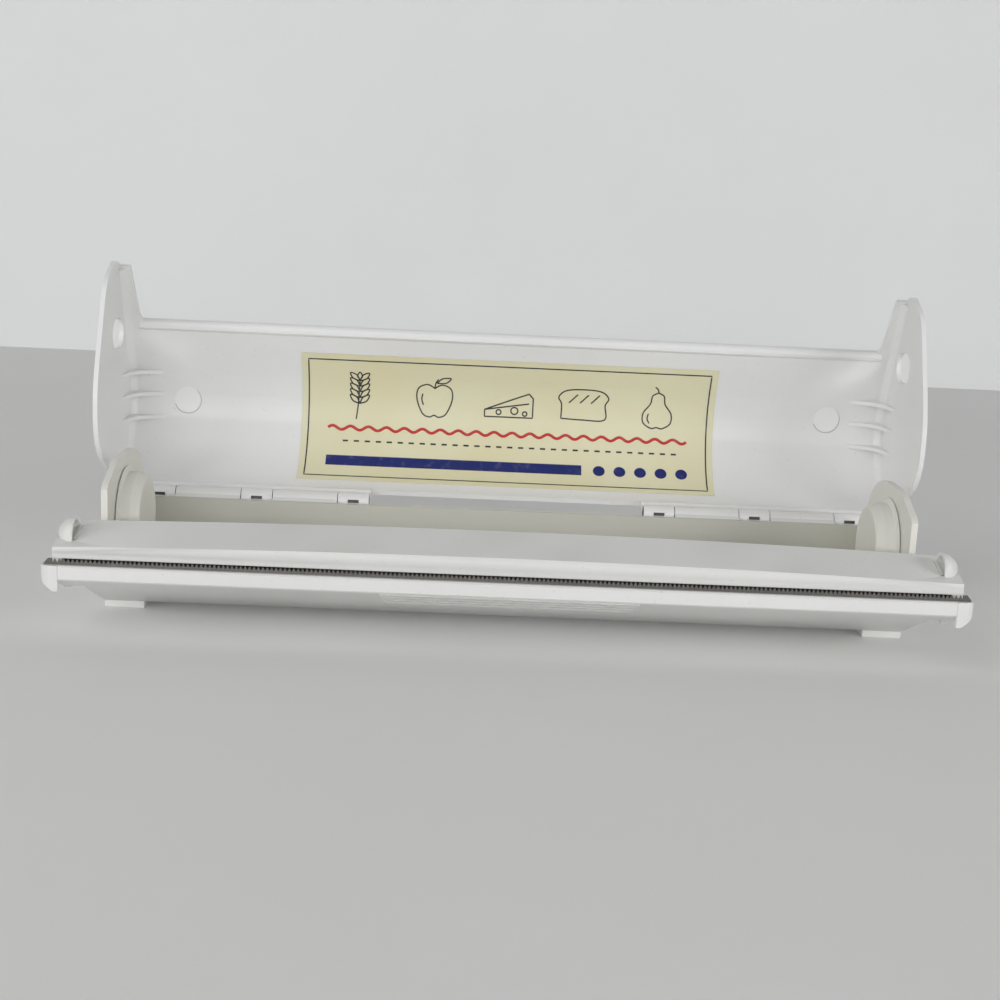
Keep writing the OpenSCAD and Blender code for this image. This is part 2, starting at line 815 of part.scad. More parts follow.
// Lid knuckles of one hinge group
module lid_knuckles() {
    for (i = [0:2])
        let (x0 = hinge_start + i * step) {
            bar_x(x0, x0 + knuckle_len, hinge_y, hinge_z, barrel_r);
            along_x(x0, x0 + knuckle_len)
                polygon([[hinge_y - 2.6, hinge_z + 2], [hinge_y + 2.6, hinge_z + 2],
                    [lid_cy + lid_r + lid_wall - 0.5, lid_cz + 7.4], [lid_cy + lid_r + 0.1, lid_cz + 7.4],
                    [hinge_y - 2.6, hinge_z + 4.6]]);
        }
}

// Lid with shell, ears, rolled lip, gussets and knuckles
module lid_cover() {
    color([0.91, 0.91, 0.91])
        seat()
            opened()
                difference() {
                    union() {
                        along_x(-ear_in - 0.5, ear_in + 0.5)
                            translate([lid_cy, lid_cz])
                                sector_2d(lid_r, lid_r + lid_wall, 9, lid_arc);
                        // flat front with the flange past the lip on each side
                        on_flat(-lid_wall / 2, lid_wall / 2)
                            difference() {
                                translate([-ear_in - 0.5, -0.2])
                                    square([2 * ear_in + 1, lid_flat + ear_reach]);
                                polygon([[-ear_in + 9, lid_flat], [-ear_in + 6.4, lid_flat + 5],
                                    [-ear_in + 4.4, lid_flat + ear_reach + 1],
                                    [ear_in - 4.4, lid_flat + ear_reach + 1],
                                    [ear_in - 6.4, lid_flat + 5], [ear_in - 9, lid_flat]]);
                            }
                        // rolled lip
                        translate([0, arc_y, arc_z])
                            rotate([lid_arc + 90, 0, 0])
                                translate([-ear_in + 6, lid_flat, -lip_back])
                                    rotate([0, 90, 0])
                                        cylinder(h = 2 * ear_in - 12, r = lip_r);
                        // thick rim above the hinge
                        along_x(-ear_in - 0.5, ear_in + 0.5)
                            translate([lid_cy, lid_cz])
                                sector_2d(lid_r - 1.2, lid_r + lid_wall, 9, 12.5);
                        both_sides() {
                            along_x(ear_in, ear_out)
                                ear_2d();
                            ear_root();
                            for (off = [-10.6, -0.3, 9.9])
                                gusset(off);
                            lid_knuckles();
                        }
                    }
                    // rim cut back between the two hinge groups
                    along_x(-hinge_start + 0.3, hinge_start - 0.3)
                        translate([lid_cy, lid_cz])
                            sector_2d(lid_r - 4, lid_r + lid_wall + 3, 4, 14.5);
                    both_sides() {
                        along_x(ear_in - root_c, ear_out + 1)
                            window_2d();
                        bar_x(hinge_start - 2, hinge_end + 2, hinge_y, hinge_z, hinge_pin_r + run_gap);
                        // small slot in each knuckle
                        for (i = [0:2])
                            translate([hinge_start + i * step + (knuckle_len - slot_w) / 2, hinge_y - 0.9,
                                hinge_z - barrel_r - 1])
                                cube([slot_w, 1.4, barrel_r - hinge_pin_r + 0.6]);
                    }
                }
}

// Section of the sheet, following the shell and then its flat front
module sheet_2d() {
    n = 60;
    a0 = 27;
    r1 = lid_r - 0.03;
    r0 = r1 - sheet_t;
    run = lid_flat - 10;
    out = [cos(lid_arc), sin(lid_arc)];
    past = [-sin(lid_arc) * run, cos(lid_arc) * run];
    polygon(concat(
        [for (i = [0:n]) let (a = a0 + (lid_arc - a0) * i / n) [r1 * cos(a), r1 * sin(a)]],
        [r1 * out + past, r0 * out + past],
        [for (i = [n:-1:0]) let (a = a0 + (lid_arc - a0) * i / n) [r0 * cos(a), r0 * sin(a)]]));
}

// Sheet stuck on the inside of the lid
module lid_sheet() {
    color([0.88, 0.87, 0.76])
        seat()
            opened()
                along_x(-sheet_w / 2, sheet_w / 2)
                    translate([lid_cy, lid_cz])
                        sheet_2d();
}

base_tray();
front_fascia();
end_cap_left();
end_cap_right();
cutter_blade();
blade_rivets();
foot_left();
foot_right();
hinge_pin_left();
hinge_pin_right();
guard_pin_left();
guard_pin_right();
guard_spring_left();
guard_spring_right();
guard_bar();
holding_tab_left();
holding_tab_right();
roll_hub_left();
roll_hub_right();
lid_cover();
lid_sheet();
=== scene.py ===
"""Looks for the wrap and foil dispenser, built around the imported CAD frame. Metres unless said."""

import math

import bmesh
import bpy
from mathutils import Matrix, Vector


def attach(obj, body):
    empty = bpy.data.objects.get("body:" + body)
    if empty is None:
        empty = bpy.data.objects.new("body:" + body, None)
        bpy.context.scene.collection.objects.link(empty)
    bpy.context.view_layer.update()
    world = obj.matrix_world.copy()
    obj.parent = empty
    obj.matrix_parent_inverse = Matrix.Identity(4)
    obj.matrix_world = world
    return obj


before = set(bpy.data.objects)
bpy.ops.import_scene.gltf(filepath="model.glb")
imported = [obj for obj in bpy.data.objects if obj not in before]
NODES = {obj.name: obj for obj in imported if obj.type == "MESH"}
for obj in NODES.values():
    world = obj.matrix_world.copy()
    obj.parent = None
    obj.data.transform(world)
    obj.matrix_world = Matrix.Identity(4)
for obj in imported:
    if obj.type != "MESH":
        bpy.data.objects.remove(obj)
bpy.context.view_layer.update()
MM = 0.001
scene = bpy.context.scene


# Materials

# Colour sockets of the Mix node
MIX_A, MIX_B, MIX_RESULT = 6, 7, 2


class Graph:
    """A material's node tree with short calls for the nodes used here."""

    def __init__(self, name):
        self.mat = bpy.data.materials.new(name)
        self.mat.use_nodes = True
        self.tree = self.mat.node_tree
        self.tree.nodes.clear()
        self.bsdf = self.add("BsdfPrincipled")
        self.link(self.bsdf.outputs[0], self.add("OutputMaterial").inputs[0])
        self.place = self.add("TexCoord").outputs["Object"]

    def add(self, kind):
        return self.tree.nodes.new("ShaderNode" + kind)

    def link(self, a, b):
        self.tree.links.new(a, b)

    def feed(self, socket, value):
        """Links value if it is a socket, and sets it otherwise."""
        if isinstance(value, bpy.types.NodeSocket):
            self.link(value, socket)
        else:
            socket.default_value = value

    def surface(self, **values):
        """Feeds inputs of the surface shader, with _ for a space in the input's name."""
        for name, value in values.items():
            self.feed(self.bsdf.inputs[name.replace("_", " ")], value)

    def stretch(self, scale):
        n = self.add("Mapping")
        n.inputs["Scale"].default_value = scale
        self.link(self.place, n.inputs["Vector"])
        return n.outputs[0]

    def noise(self, scale, detail=3.0, rough=0.5, at=None):
        n = self.add("TexNoise")
        n.inputs["Scale"].default_value = scale
        n.inputs["Detail"].default_value = detail
        n.inputs["Roughness"].default_value = rough
        self.link(at or self.place, n.inputs["Vector"])
        return n.outputs[0]

    def ramp(self, value, low, high, a=0.0, b=1.0):
        """Maps value from low..high to a..b, clamped."""
        n = self.add("MapRange")
        n.inputs["From Min"].default_value = low
        n.inputs["From Max"].default_value = high
        n.inputs["To Min"].default_value = a
        n.inputs["To Max"].default_value = b
        self.link(value, n.inputs["Value"])
        return n.outputs[0]

    def math(self, op, a, b=0.0):
        n = self.add("Math")
        n.operation = op
        self.feed(n.inputs[0], a)
        self.feed(n.inputs[1], b)
        return n.outputs[0]

    def plus(self, a, b):
        return self.math("ADD", a, b)

    def minus(self, a, b):
        return self.math("SUBTRACT", a, b)

    def times(self, a, b):
        return self.math("MULTIPLY", a, b)

    def mix(self, factor, a, b):
        n = self.add("Mix")
        n.data_type = "RGBA"
        self.feed(n.inputs[0], factor)
        self.feed(n.inputs[MIX_A], a)
        self.feed(n.inputs[MIX_B], b)
        return n.outputs[MIX_RESULT]

    def crease(self, distance):
        """Near 1 in inner corners of the same piece, 0 on open faces."""
        n = self.add("AmbientOcclusion")
        n.samples = 8
        n.only_local = True
        n.inputs["Distance"].default_value = distance
        return self.minus(1.0, n.outputs["AO"])

    def xyz(self):
        n = self.add("SeparateXYZ")
        self.link(self.place, n.inputs[0])
        return n.outputs

    def from_line(self, y, z):
        """Distance from a line along X."""
        at = self.xyz()
        dy = self.minus(at[1], y)
        dz = self.minus(at[2], z)
        return self.math("SQRT", self.plus(self.times(dy, dy), self.times(dz, dz)))

    def past_point(self, y, z, slope):
        """Distances behind a point, above a line that falls towards the back from it, and from x = 0."""
        at = self.xyz()
        behind = self.minus(at[1], y)
        above = self.plus(self.minus(at[2], z), self.times(behind, slope))
        return behind, above, self.math("ABSOLUTE", at[0])

    def bump(self, height, strength, distance):
        n = self.add("Bump")
        n.inputs["Strength"].default_value = strength
        n.inputs["Distance"].default_value = distance
        self.link(height, n.inputs["Height"])
        self.surface(Normal=n.outputs[0])


def rgb(r, g, b):
    return (r, g, b, 1.0)


def shade(colour, k):
    return rgb(*[c * k for c in colour[:3]])


# Scuffs run along X in the first stretch and round the section in the second
SCUFF_LONG = (30.0, 900.0, 1400.0)
SCUFF_ROUND = (1300.0, 140.0, 60.0)
SCUFF_TINT = 0.10
SCUFF_DULL = 0.16
SPECK_SCALE = 900.0
SPECK_TINT = 0.16
SHADE_BAND_MIX = 0.92
# Width over which the painted shade bands and the painted shade under the guard fade out
SHADE_BAND_FADE = 0.0005
UNDER_SHADE_FADE = 0.0004
UNDER_SHADE_FADE_BACK = 0.0006
CORNER_REACH = 0.005
GRAIN_SCALE = 2600.0
WAVE_SCALE = 170.0
GRAIN_STRENGTH = 0.25
GRAIN_DEPTH = 0.00006
PLASTIC_IOR = 1.49


def plastic(name, colour, speck_and_shade_colour, corner_shade=0.5, rough=0.36, shade_bands=(), inside=None):
    """Moulded satin plastic: faint clouding, hairline scuffs, dark specks, painted shade in inner corners,
    fine grain.
    Each band of painted shade has (y, z, radius, colour): the surface nearer than radius to that line along
    X is painted that colour as shade.
    inside is (y, z, slope, length, half, colour): the surface behind and above that point is painted that
    colour as shade."""
    g = Graph(name)
    cloud = g.noise(14.0, 4.0, 0.55)
    tint = g.mix(g.ramp(cloud, 0.3, 0.7), shade(colour, 0.965), shade(colour, 1.015))

    scuff_long = g.noise(1.0, 2.0, 0.6, g.stretch(SCUFF_LONG))
    scuff_round = g.noise(1.0, 2.0, 0.6, g.stretch(SCUFF_ROUND))
    patch = g.ramp(g.noise(22.0, 2.0), 0.5, 0.62)
    lines = g.math("MAXIMUM", g.ramp(scuff_long, 0.66, 0.74), g.ramp(scuff_round, 0.68, 0.76))
    scuff = g.times(lines, patch)
    tint = g.mix(g.times(scuff, SCUFF_TINT), tint, shade(colour, 0.72))
    speck = g.ramp(g.noise(SPECK_SCALE, 0.0), 0.80, 0.84)
    tint = g.mix(g.times(speck, SPECK_TINT), tint, speck_and_shade_colour)

    # Painted shade in bands along X, near the lid hinge and in the trough
    for y, z, radius, grey in shade_bands:
        near = g.ramp(g.from_line(y, z), radius, radius - SHADE_BAND_FADE, 0.0, SHADE_BAND_MIX)
        tint = g.mix(near, tint, grey)
    # Painted shade behind and above a point, as in the space under the guard bar
    if inside:
        y, z, slope, length, half, dark = inside
        behind, above, aside = g.past_point(y, z, slope)
        front = g.ramp(behind, 0.0, UNDER_SHADE_FADE)
        back = g.ramp(behind, length, length + UNDER_SHADE_FADE_BACK, 1.0, 0.0)
        low = g.ramp(above, 0.0, UNDER_SHADE_FADE)
        ends = g.ramp(aside, half, half + UNDER_SHADE_FADE, 1.0, 0.0)
        tint = g.mix(g.times(g.times(front, back), g.times(low, ends)), tint, dark)

    # Painted shade: inner corners of the same piece darkened towards the speck colour, broken up by noise
    broken = g.ramp(g.noise(60.0, 3.0), 0.25, 0.75, 0.5, 1.0)
    corner = g.times(g.ramp(g.crease(CORNER_REACH), 0.28, 0.9), broken)
    tint = g.mix(g.times(corner, corner_shade), tint, speck_and_shade_colour)
    satin = g.ramp(cloud, 0.3, 0.7, rough - 0.05, rough + 0.06)
    gloss = g.plus(satin, g.times(scuff, SCUFF_DULL))
    g.surface(Base_Color=tint, Roughness=gloss, IOR=PLASTIC_IOR, Specular_IOR_Level=0.5)
    grain = g.times(g.noise(GRAIN_SCALE, 2.0, 0.6), 0.5)
    wave = g.times(g.noise(WAVE_SCALE, 2.0), 1.6)
    g.bump(g.plus(grain, wave), GRAIN_STRENGTH, GRAIN_DEPTH)
    return g.mat


# Steel is drawn or rolled along X
STEEL_LINES = (26.0, 3200.0, 3200.0)


def steel(name, colour, rough):
    """Drawn or rolled steel with fine lines along X."""
    g = Graph(name)
    lines = g.noise(1.0, 3.0, 0.7, g.stretch(STEEL_LINES))
    patch = g.noise(60.0, 3.0)
    tint = g.mix(g.ramp(lines, 0.3, 0.7), shade(colour, 0.82), shade(colour, 1.08))
    tint = g.mix(g.ramp(patch, 0.55, 0.75, 0.0, 0.35), tint, shade(colour, 0.6))
    gloss = g.ramp(lines, 0.25, 0.75, rough - 0.06, rough + 0.12)
    g.surface(Base_Color=tint, Metallic=1.0, Roughness=gloss)
    g.bump(lines, 0.3, 0.00003)
    return g.mat


FIBRE = (900.0, 2600.0, 2600.0)


def film(name, colour, aged):
    """Printed film on the lid: fibre mottling, a faint yellow cast, low gloss."""
    g = Graph(name)
    age = g.ramp(g.noise(26.0, 4.0), 0.35, 0.7)
    fibre = g.noise(1.0, 3.0, 0.6, g.stretch(FIBRE))
    tint = g.mix(age, colour, aged)
    tint = g.mix(g.ramp(fibre, 0.45, 0.75, 0.0, 0.12), tint, shade(aged, 0.86))
    g.surface(Base_Color=tint, Roughness=g.ramp(age, 0.0, 1.0, 0.42, 0.52))
    g.bump(g.plus(fibre, g.times(g.noise(120.0, 2.0), 2.0)), 0.2, 0.00006)
    return g.mat


INK_WEAR = 0.35


def ink(name, colour):
    """Flat print, slightly uneven where the film is worn."""
    g = Graph(name)
    worn = g.ramp(g.noise(240.0, 3.0), 0.55, 0.8, 0.0, INK_WEAR)
    pale = rgb(*[0.6 * c + 0.22 for c in colour[:3]])
    g.surface(Base_Color=g.mix(worn, colour, pale), Roughness=g.ramp(worn, 0.0, INK_WEAR, 0.42, 0.55))
    return g.mat


def stage_mat(name, colour, glow):
    """Matt pale board. glow lifts only what camera, mirror and glass rays see of it."""
    g = Graph(name)
    spot = g.ramp(g.noise(3.0, 5.0, 0.6), 0.3, 0.7)
    tint = g.mix(spot, shade(colour, 0.975), shade(colour, 1.01))
    g.surface(Base_Color=tint, Roughness=0.85, Specular_IOR_Level=0.2, Emission_Color=colour)
    g.bump(g.noise(700.0, 3.0), 0.12, 0.0002)
    rays = g.add("LightPath").outputs
    seen = g.math("MAXIMUM", rays["Is Glossy Ray"], rays["Is Transmission Ray"])
    seen = g.math("MAXIMUM", rays["Is Camera Ray"], seen)
    g.surface(Emission_Strength=g.times(seen, glow))
    return g.mat


# Colour of the dark specks and of the painted shade in inner corners
SPECK_AND_SHADE_COLOUR = rgb(0.36, 0.34, 0.28)
# Painted shade as y, z, radius, colour: near black in the gap along the lid hinge and grey in the trough of
# the tray
SEAM = (0.0338, 0.0354, 0.0033, rgb(0.05, 0.048, 0.04))
# Grey in the trough of the tray: painted shade in the recess
TROUGH = (-0.0026, 0.035, 0.0312, rgb(0.56, 0.56, 0.49))
# Painted shade in the space under the guard bar as y, z, slope, length, half width, colour
UNDER_GUARD = (-0.0682, 0.0242, 0.45, 0.0226, 0.1692, rgb(0.13, 0.125, 0.11))

WHITE = plastic("white_plastic", rgb(0.84, 0.84, 0.825), SPECK_AND_SHADE_COLOUR)
LID = plastic("lid_plastic", rgb(0.87, 0.87, 0.87), SPECK_AND_SHADE_COLOUR, corner_shade=0.3, rough=0.33, shade_bands=(SEAM,))
# Lighter than the lid: painted highlight on the flat faces of the moulding discs
DISC_HIGHLIGHT = plastic("disc_highlight_plastic", rgb(0.93, 0.93, 0.93), SPECK_AND_SHADE_COLOUR, corner_shade=0.3, rough=0.33)
# Dark grey line round most of each moulding disc: painted shadow
DISC_EDGE_SHADOW = plastic("disc_edge_shadow_plastic", rgb(0.52, 0.52, 0.50), SPECK_AND_SHADE_COLOUR, corner_shade=0.3, rough=0.4)
GUARD = plastic("guard_plastic", rgb(0.80, 0.805, 0.78), SPECK_AND_SHADE_COLOUR, corner_shade=0.35, rough=0.42)
TRAY = plastic("tray_plastic", rgb(0.84, 0.84, 0.825), SPECK_AND_SHADE_COLOUR, corner_shade=0.6, rough=0.4,
               shade_bands=(TROUGH, SEAM), inside=UNDER_GUARD)
TAB = plastic("tab_plastic", rgb(0.83, 0.82, 0.76), rgb(0.40, 0.36, 0.26), rough=0.38)
BLADE = steel("blade_steel", rgb(0.22, 0.212, 0.196), 0.36)
PIN = steel("pin_steel", rgb(0.55, 0.55, 0.55), 0.26)
SPRING = steel("spring_steel", rgb(0.42, 0.42, 0.43), 0.34)
INK_DARK = ink("ink_dark", rgb(0.035, 0.035, 0.04))
INK_RED = ink("ink_red", rgb(0.55, 0.03, 0.025))
INK_BLUE = ink("ink_blue", rgb(0.012, 0.022, 0.16))
SHEET = film("sheet_film", rgb(0.80, 0.77, 0.55), rgb(0.78, 0.73, 0.48))

LOOKS = {
    "base_tray": TRAY, "front_fascia": WHITE, "end_cap_left": WHITE, "end_cap_right": WHITE,
    "cutter_blade": BLADE, "blade_rivets": WHITE, "foot_left": WHITE, "foot_right": WHITE,
    "hinge_pin_left": PIN, "hinge_pin_right": PIN, "guard_pin_left": PIN, "guard_pin_right": PIN,
    "guard_spring_left": SPRING, "guard_spring_right": SPRING, "guard_bar": GUARD,
    "holding_tab_left": TAB, "holding_tab_right": TAB, "roll_hub_left": TAB, "roll_hub_right": TAB,
    "lid_cover": LID, "lid_sheet": SHEET,
}

# Edge rounding in millimetres, none for a node that isn't named here
EDGES = {
    "base_tray": 0.35, "front_fascia": 0.35, "end_cap_left": 0.4, "end_cap_right": 0.4,
    "foot_left": 0.5, "foot_right": 0.5, "guard_bar": 0.45, "holding_tab_left": 0.45,
    "holding_tab_right": 0.45, "roll_hub_left": 0.3, "roll_hub_right": 0.3, "lid_cover": 0.5,
}
WELD_DIST = 1e-6
FLAT_ANGLE = math.radians(0.08)
SHARP_ANGLE = math.radians(38)


def soften(obj, width):
    """Welds the triangles into clean faces and rounds the sharp edges."""
    weld = obj.modifiers.new("weld", "WELD")
    weld.merge_threshold = WELD_DIST
    flat = obj.modifiers.new("flat", "DECIMATE")
    flat.decimate_type = "DISSOLVE"
    flat.angle_limit = FLAT_ANGLE
    if width:
        bev = obj.modifiers.new("edge", "BEVEL")
        bev.width = width * MM
        bev.segments = 2
        bev.limit_method = "ANGLE"
        bev.angle_limit = SHARP_ANGLE
    norm = obj.modifiers.new("normals", "WEIGHTED_NORMAL")
    norm.keep_sharp = True


for name, node in NODES.items():
    node.data.materials.clear()
    node.data.materials.append(LOOKS[name])
    for p in node.data.polygons:
        p.use_smooth = True
    soften(node, EDGES.get(name, 0))


# Surface of the opened lid in millimetres: x along the length, v along the section from the hinge side

# Section of the shut lid as y, z, and the turn from shut to the open rest pose
HINGE = (38.4, 35.4)
LID_AXIS = (1.0, 35.0)
LID_R = 35.0
ARC_START, ARC_END = math.radians(27), math.radians(116)
TURN = math.radians(-92)
# From the section's y to the frame's y
SHIFT = -4.6027
# Depth to which added pieces reach into the surface under them
SINK = 0.02
DOUBLE_DIST = 1e-7


def lid_point(x, v, radius):
    """Point in metres, v millimetres along the arc of the given radius and on along the flat."""
    a = min(ARC_START + v / radius, ARC_END)
    past = max(0.0, v - (ARC_END - ARC_START) * radius)
    y = LID_AXIS[0] + radius * math.cos(a) - past * math.sin(a) - HINGE[0]
    z = LID_AXIS[1] + radius * math.sin(a) + past * math.cos(a) - HINGE[1]
    back = HINGE[0] + y * math.cos(TURN) - z * math.sin(TURN) + SHIFT
    up = HINGE[1] + y * math.sin(TURN) + z * math.cos(TURN)
    return Vector((x, back, up)) * MM


def strip(bm, side_a, side_b, radius, thick, across=1, closed=False):
    """Closed thin solid between two lines of (x, v) points, bent onto the lid."""
    rows = []
    for (xa, va), (xb, vb) in zip(side_a, side_b):
        steps = [(xa + (xb - xa) * k / across, va + (vb - va) * k / across) for k in range(across + 1)]
        top = [bm.verts.new(lid_point(x, v, radius - thick)) for x, v in steps]
        low = [bm.verts.new(lid_point(x, v, radius + SINK)) for x, v in steps]
        rows.append(top + low[::-1])
    pairs = list(zip(rows, rows[1:]))
    if closed:
        pairs.append((rows[-1], rows[0]))
    n = len(rows[0])
    for r0, r1 in pairs:
        for k in range(n):
            m = (k + 1) % n
            bm.faces.new((r0[k], r0[m], r1[m], r1[k]))
    if not closed:
        for r in (rows[0], rows[-1]):
            for k in range(across):
                bm.faces.new((r[k], r[k + 1], r[n - 2 - k], r[n - 1 - k]))


def ribbon(bm, points, width, radius, thick, closed=False):
    """Line of even width along the points."""
    n = len(points)
    left, right = [], []
    for i, (x, v) in enumerate(points):
        x0, v0 = points[(i - 1) % n] if closed or i else points[0]
        x1, v1 = points[(i + 1) % n] if closed or i < n - 1 else points[-1]
        long = math.hypot(x1 - x0, v1 - v0) or 1.0
        nx, nv = -(v1 - v0) / long * width / 2, (x1 - x0) / long * width / 2
        left.append((x + nx, v + nv))
        right.append((x - nx, v - nv))
    strip(bm, left, right, radius, thick, 1, closed)


def arc(cx, cv, r, a0, a1, n):
    """Points on part of a circle, angles in degrees."""
    steps = [math.radians(a0 + (a1 - a0) * i / n) for i in range(n + 1)]
    return [(cx + r * math.cos(a), cv + r * math.sin(a)) for a in steps]


def disc(bm, cx, cv, r, radius, thick, n, across):
    """Round plate between its upper and lower half circle."""
    strip(bm, arc(cx, cv, r, 180, 0, n), arc(cx, cv, r, 180, 360, n), radius, thick, across)


def lid_piece(name, mat, draw):
    """Makes one piece from draw(bm) and lets it ride on the lid."""
    bm = bmesh.new()
    draw(bm)
    bmesh.ops.remove_doubles(bm, verts=bm.verts, dist=DOUBLE_DIST)
    bmesh.ops.recalc_face_normals(bm, faces=bm.faces)
    me = bpy.data.meshes.new(name)
    bm.to_mesh(me)
    bm.free()
    me.materials.append(mat)
    obj = bpy.data.objects.new(name, me)
    scene.collection.objects.link(obj)
    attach(obj, "lid")


# Print on the sheet: a border, five kitchen motifs, a red wave and a blue band with dots

SHEET_R = 34.77
SHEET_HALF = 94.0
SHEET_V = (ARC_END - ARC_START) * SHEET_R + 10.0
PRINT_T = 0.05
LINE_W = 0.6
# A line whose ends lie nearer than this is drawn as a loop
LOOP_DIST = 1e-6
BORDER = 3.0
MOTIF_X, MOTIF_STEP, MOTIF_V = -68.0, 34.0, 43.0
DASH_X, DASH_STEP, DASH_L, DASH_W, DASH_V, DASHES = -75.0, 5.0, 2.4, 0.8, 22.4, 31
# Left end of the wave and of the band
PRINT_X = -82.0
WAVE_L, WAVE_H, WAVE_W, WAVE_V, WAVE_STEPS = 164.0, 0.9, 1.3, 28.4, 240
BAND_L, BAND_LOW, BAND_HIGH, BAND_STEPS = 116.0, 9.6, 15.0, 60
DOT_X, DOT_STEP, DOT_V, DOT_R, DOTS = 42.0, 9.4, 12.3, 2.7, 5


def curve(points, n=8):
    """Smooth line through the points."""
    ends = [points[0]] + list(points) + [points[-1]]
    out = []
    for p0, p1, p2, p3 in zip(ends, ends[1:], ends[2:], ends[3:]):
        for i in range(n):
            t = i / n
            out.append(tuple(0.5 * (2 * b + (c - a) * t + (2 * a - 5 * b + 4 * c - d) * t * t
                                    + (3 * b - a - 3 * c + d) * t ** 3)
                             for a, b, c, d in zip(p0, p1, p2, p3)))
    return out + [points[-1]]


def straight(a, b, n):
    return [(a[0] + (b[0] - a[0]) * i / n, a[1] + (b[1] - a[1]) * i / n) for i in range(n + 1)]


def through(points, n):
    """Straight lines from point to point, without the last point."""
    return [p for a, b in zip(points, points[1:]) for p in straight(a, b, n)[:-1]]


def moved(points, cx, cv):
    return [(cx + x, cv + v) for x, v in points]


def curves(cx, cv, *lines):
    return [moved(curve(line), cx, cv) for line in lines]


def apple(cx, cv):
    body = [(0, 5.4), (3.4, 7.2), (7.4, 5.2), (8, 0), (5.4, -6.4), (2.2, -8), (0, -7.2), (-2.2, -8),
            (-5.4, -6.4), (-8, 0), (-7.4, 5.2), (-3.4, 7.2), (0, 5.4)]
    stem = [(0, 5.4), (0.4, 8), (1.6, 10)]
    leaf = [(1, 8), (3.4, 10.4), (7.2, 10.6), (5, 8.2), (1, 8)]
    shine = [(-5.4, 2.6), (-5.8, 0), (-5, -2.6)]
    return curves(cx, cv, body, stem, leaf, shine)


def pear(cx, cv):
    body = [(0, 8), (2.6, 6.4), (3.4, 2.4), (6.4, -2), (6.2, -6.4), (2.6, -8.8), (0, -8.4), (-2.6, -8.8),
            (-6.2, -6.4), (-6.4, -2), (-3.4, 2.4), (-2.6, 6.4), (0, 8)]
    stem = [(0, 8), (-0.4, 9.6), (-1.8, 11)]
    shine = [(-4, -2.2), (-4.4, -4.6), (-3.4, -6.6)]
    return curves(cx, cv, body, stem, shine)


def cheese(cx, cv):
    wedge = [(-11, -3.4), (9, 4.6), (11, 2.4), (11, -6.6), (-11, -6.6), (-11, -3.4), (11, 0.2)]
    holes = ((-4.6, -4.4, 1.1), (2.6, -3.6, 1.6), (7.4, -4.8, 1.0))
    return [through(moved(wedge, cx, cv), 12)] + [arc(cx + x, cv + v, r, 0, 360, 20) for x, v, r in holes]


def loaf(cx, cv):
    crust = [(-10, -6), (-10, 0.6), (-11.4, 4), (-8, 7.2), (0, 8), (8, 7.2), (11.4, 4), (10, 0.6), (10, -6),
             (0, -6.4), (-10, -6)]
    cuts = [[(x - 1.6, 1.4), (x, 3), (x + 2.2, 5.4)] for x in (-5, 0, 5)]
    return curves(cx, cv, crust, *cuts)


def wheat(cx, cv):
    stalk = [(-1.4, -10.4), (-0.6, -3), (0, 8.4)]
    grain = [(0, 0), (3.1, 1.2), (4.3, 4.0), (1.5, 3.0), (0, 0)]
    tip = [(0, 8.2), (-1.1, 10), (0, 12), (1.1, 10), (0, 8.2)]
    lines = [curve(moved(stalk, cx, cv))]
    for k in range(5):
        v = cv - 3.2 + 2.7 * k
        for side in (-1, 1):
            lines.append(curve([(cx + side * x, v + dv) for x, dv in grain], 5))
    return lines + [curve(moved(tip, cx, cv))]


def draw_motifs(bm):
    half_x, half_v, mid = SHEET_HALF - BORDER, SHEET_V / 2 - BORDER, SHEET_V / 2
    corners = [(half_x * x, mid + half_v * v) for x, v in ((-1, -1), (1, -1), (1, 1), (-1, 1))]
    ribbon(bm, through(corners + corners[:1], 50), LINE_W, SHEET_R, PRINT_T, closed=True)
    for i, motif in enumerate((wheat, apple, cheese, loaf, pear)):
        for line in motif(MOTIF_X + MOTIF_STEP * i, MOTIF_V):
            shut = math.dist(line[0], line[-1]) < LOOP_DIST
            ribbon(bm, line[:-1] if shut else line, LINE_W, SHEET_R, PRINT_T, shut)
    for i in range(DASHES):
        x = DASH_X + DASH_STEP * i
        ribbon(bm, straight((x, DASH_V), (x + DASH_L, DASH_V), 2), DASH_W, SHEET_R, PRINT_T)


def draw_wave(bm):
    wave = [(PRINT_X + WAVE_L * i / WAVE_STEPS, WAVE_V + WAVE_H * math.sin(i * math.pi / 6))
            for i in range(WAVE_STEPS + 1)]
    ribbon(bm, wave, WAVE_W, SHEET_R, PRINT_T)


def draw_band(bm):
    xs = [PRINT_X + BAND_L * i / BAND_STEPS for i in range(BAND_STEPS + 1)]
    strip(bm, [(x, BAND_LOW) for x in xs], [(x, BAND_HIGH) for x in xs], SHEET_R, PRINT_T, 5)
    for i in range(DOTS):
        disc(bm, DOT_X + DOT_STEP * i, DOT_V, DOT_R, SHEET_R, PRINT_T, 20, 4)


lid_piece("print_motifs", INK_DARK, draw_motifs)
lid_piece("print_wave", INK_RED, draw_wave)
lid_piece("print_band", INK_BLUE, draw_band)


# Round moulding marks on the inside of the lid: a low disc, coloured lighter than the lid as painted
# highlight, and a thin dark line round most of it as painted shadow

DISC_R = 5.8
DISC_T = 0.3
EDGE_SHADOW_GAP = 0.2
EDGE_SHADOW_W = 0.34
EDGE_SHADOW_T = 0.06
EDGE_SHADOW_START, EDGE_SHADOW_END = -160, 50


def draw_disc(cx, v):
    return lambda bm: disc(bm, cx, v, DISC_R, LID_R, DISC_T, 40, 12)


